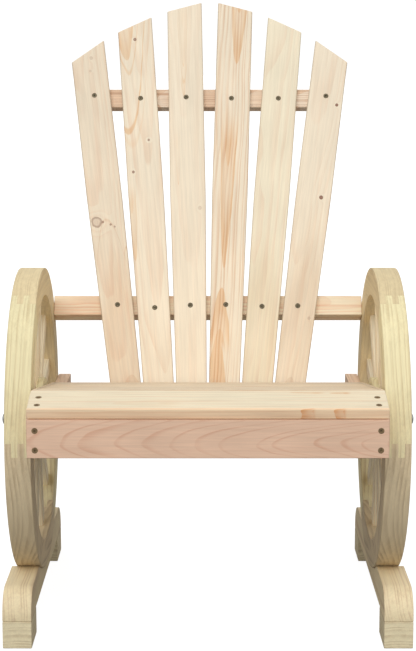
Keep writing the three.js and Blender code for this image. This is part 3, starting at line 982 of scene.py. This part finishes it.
screw_tree = make_screw_tree()
yellow_zinc = plated("yellow_zinc", (0.13, 0.095, 0.035, 1), (0.06, 0.043, 0.016, 1), 0.25)
worn_zinc = plated("worn_zinc", (0.34, 0.235, 0.12, 1), (0.2, 0.135, 0.07, 1), 0.4)
for name, places, seed, paint in (
        ("slat_screws", slat_screws, 11, yellow_zinc),
        ("seat_screws", apron_screws + front_screws + seat_screws, 5, worn_zinc)):
    screws = grown(name, screw_tree, places, Head_Radius=screw_head, Head_Depth=0.0026,
                   Proud=-0.00005, Shank_Radius=screw_shank, Length=0.024,
                   Recess_Length=0.0044, Recess_Width=0.0009, Recess_Depth=0.003,
                   Seed=seed, Material=paint)
    settle(screws, paint, "zinc_steel")


# ---- carriage bolts -------------------------------------------------------------------------
# A domed carriage bolt goes through each rim and stringer at the front and the rear, and is
# drawn up inside by a hexagon nut on a plain washer. All are bright zinc-plated steel.
bright_zinc = plated("bright_zinc", (0.62, 0.61, 0.58, 1), (0.42, 0.41, 0.39, 1), 0.9)


def turned_part(profile, steps=32):
    """A part turned on a lathe about Z from (radius, height) pairs, poles closed."""
    shape = bmesh.new()
    points = [shape.verts.new((r, 0, z)) for r, z in profile]
    edges = [shape.edges.new(pair) for pair in zip(points, points[1:])]
    bmesh.ops.spin(shape, geom=points + edges, cent=(0, 0, 0), axis=(0, 0, 1),
                   angle=2 * math.pi, steps=steps)
    bmesh.ops.remove_doubles(shape, verts=shape.verts, dist=1e-6)
    bmesh.ops.recalc_face_normals(shape, faces=shape.faces)
    return shape


def make_fastener_tree():
    """A given part at every place."""
    tree, take, give = node_group("fasteners_at_places", [
        ("Geometry", "g"), ("Part", "o"), ("Turn", "f"), ("Seed", "i"),
        ("Material", "m")], [("Geometry", "g")], "GeometryNodeTree")
    part = step(tree, "GeometryNodeObjectInfo", Object=take["Part"])
    feed(tree, give["Geometry"],
         stood(tree, take, result(part, "Geometry"), take["Turn"]))
    return tree


fastener_tree = make_fastener_tree()


def fit_fasteners(name, shape, places, turn, seed, *nodes):
    """Puts one fastener's shape at every place and settles it in the frame."""
    pattern = from_shape(name + "_pattern", shape, 35)
    piece = grown(name, fastener_tree, places, Part=pattern, Turn=turn, Seed=seed,
                  Material=bright_zinc)
    discard(pattern)
    settle(piece, bright_zinc, "zinc_steel", *nodes)


bolt_names = [f"rim_bolt_{end}_{side}" for end in ("front", "rear")
              for side in ("left", "right")]
bolt_places, nut_places, washer_places = [], [], []
for name in bolt_names:
    side = name.split("_")[-1]
    outwards, outer, inner = (-1, 0, 1) if side == "left" else (1, 1, 0)
    bolt, nut, rim, stringer = (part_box(node) for node in (
        name, name.replace("bolt", "nut"), "rim_" + side, "stringer_" + side))
    centre = (bolt[0] + bolt[1]) / 2
    rim_face, nut_face, board_face = rim[outer].x, nut[outer].x, stringer[inner].x
    for places, at, way in ((bolt_places, rim_face, outwards),
                            (nut_places, nut_face, -outwards),
                            (washer_places, board_face, -outwards)):
        places.append((Vector((at, centre.y, centre.z)), (way, 0, 0)))
    head_reach = abs(bolt[outer].x - rim_face)
    shank_reach = bolt[1].x - bolt[0].x - head_reach
    nut_depth = nut[1].x - nut[0].x
    washer_depth = abs(board_face - nut_face)

head_radius, head_edge, shank_radius = 0.008, 0.0004, 0.004
dome = [(0, head_reach)] + [
    (head_radius * math.sin(math.radians(a)),
     head_edge + (head_reach - head_edge) * math.cos(math.radians(a)))
    for a in (12, 24, 36, 48, 60, 70, 80, 90)]
thread_turns, thread_depth, thread_length, point_length = 6, 0.0005, 0.0105, 0.001
thread_start = thread_length + point_length - shank_reach
thread = [(shank_radius - i % 2 * thread_depth,
           thread_start - i * thread_length / (thread_turns * 2))
          for i in range(thread_turns * 2 + 1)]
bolt_shape = turned_part(
    dome + [(head_radius, 0.0), (shank_radius, 0.0), (shank_radius, thread_start + point_length)]
    + thread + [(shank_radius - 0.0008, -shank_reach), (0, -shank_reach)])
fit_fasteners("carriage_bolts", bolt_shape, bolt_places, 1.5, 2, *bolt_names)

nut_radius, nut_bore, nut_chamfer, nut_steps = 0.0075, 0.0041, 0.0006, 36
nut_shape = bmesh.new()


def nut_ring(height, radius_at):
    """A ring of the nut's points at a height; radius_at gives the radius at an angle."""
    angles = [2 * math.pi * i / nut_steps for i in range(nut_steps)]
    return [nut_shape.verts.new((radius_at(a) * math.cos(a), radius_at(a) * math.sin(a),
                                 height)) for a in angles]


def hexagon(a):
    """How far the nut's six flats lie from its axis at an angle."""
    return nut_radius * math.cos(math.pi / 6) / math.cos(a % (math.pi / 3) - math.pi / 6)


rings = [nut_ring(height, lambda a: min(hexagon(a), nut_radius * scale))
         for height, scale in ((0.0, 0.93), (nut_chamfer, 1.0),
                               (nut_depth - nut_chamfer, 1.0), (nut_depth, 0.93))]
holes = [nut_ring(height, lambda a: nut_bore) for height in (0.0, nut_depth)]
for lower, upper in [*zip(rings, rings[1:]), (holes[0], rings[0]), (rings[-1], holes[1]),
                     (holes[1], holes[0])]:
    for i in range(nut_steps):
        j = (i + 1) % nut_steps
        nut_shape.faces.new([lower[i], lower[j], upper[j], upper[i]])
bmesh.ops.recalc_face_normals(nut_shape, faces=nut_shape.faces)
fit_fasteners("hexagon_nuts", nut_shape, nut_places, 1.0, 7,
              *(name.replace("bolt", "nut") for name in bolt_names))

washer_bore, washer_radius, slack, corner = 0.0043, 0.0088, 0.0001, 0.0003
washer_shape = turned_part([
    (washer_bore, slack), (washer_radius - corner, slack), (washer_radius, slack + corner),
    (washer_radius, washer_depth - slack - corner),
    (washer_radius - corner, washer_depth - slack), (washer_bore, washer_depth - slack),
    (washer_bore, slack)])
fit_fasteners("plain_washers", washer_shape, washer_places, 1.0, 4)
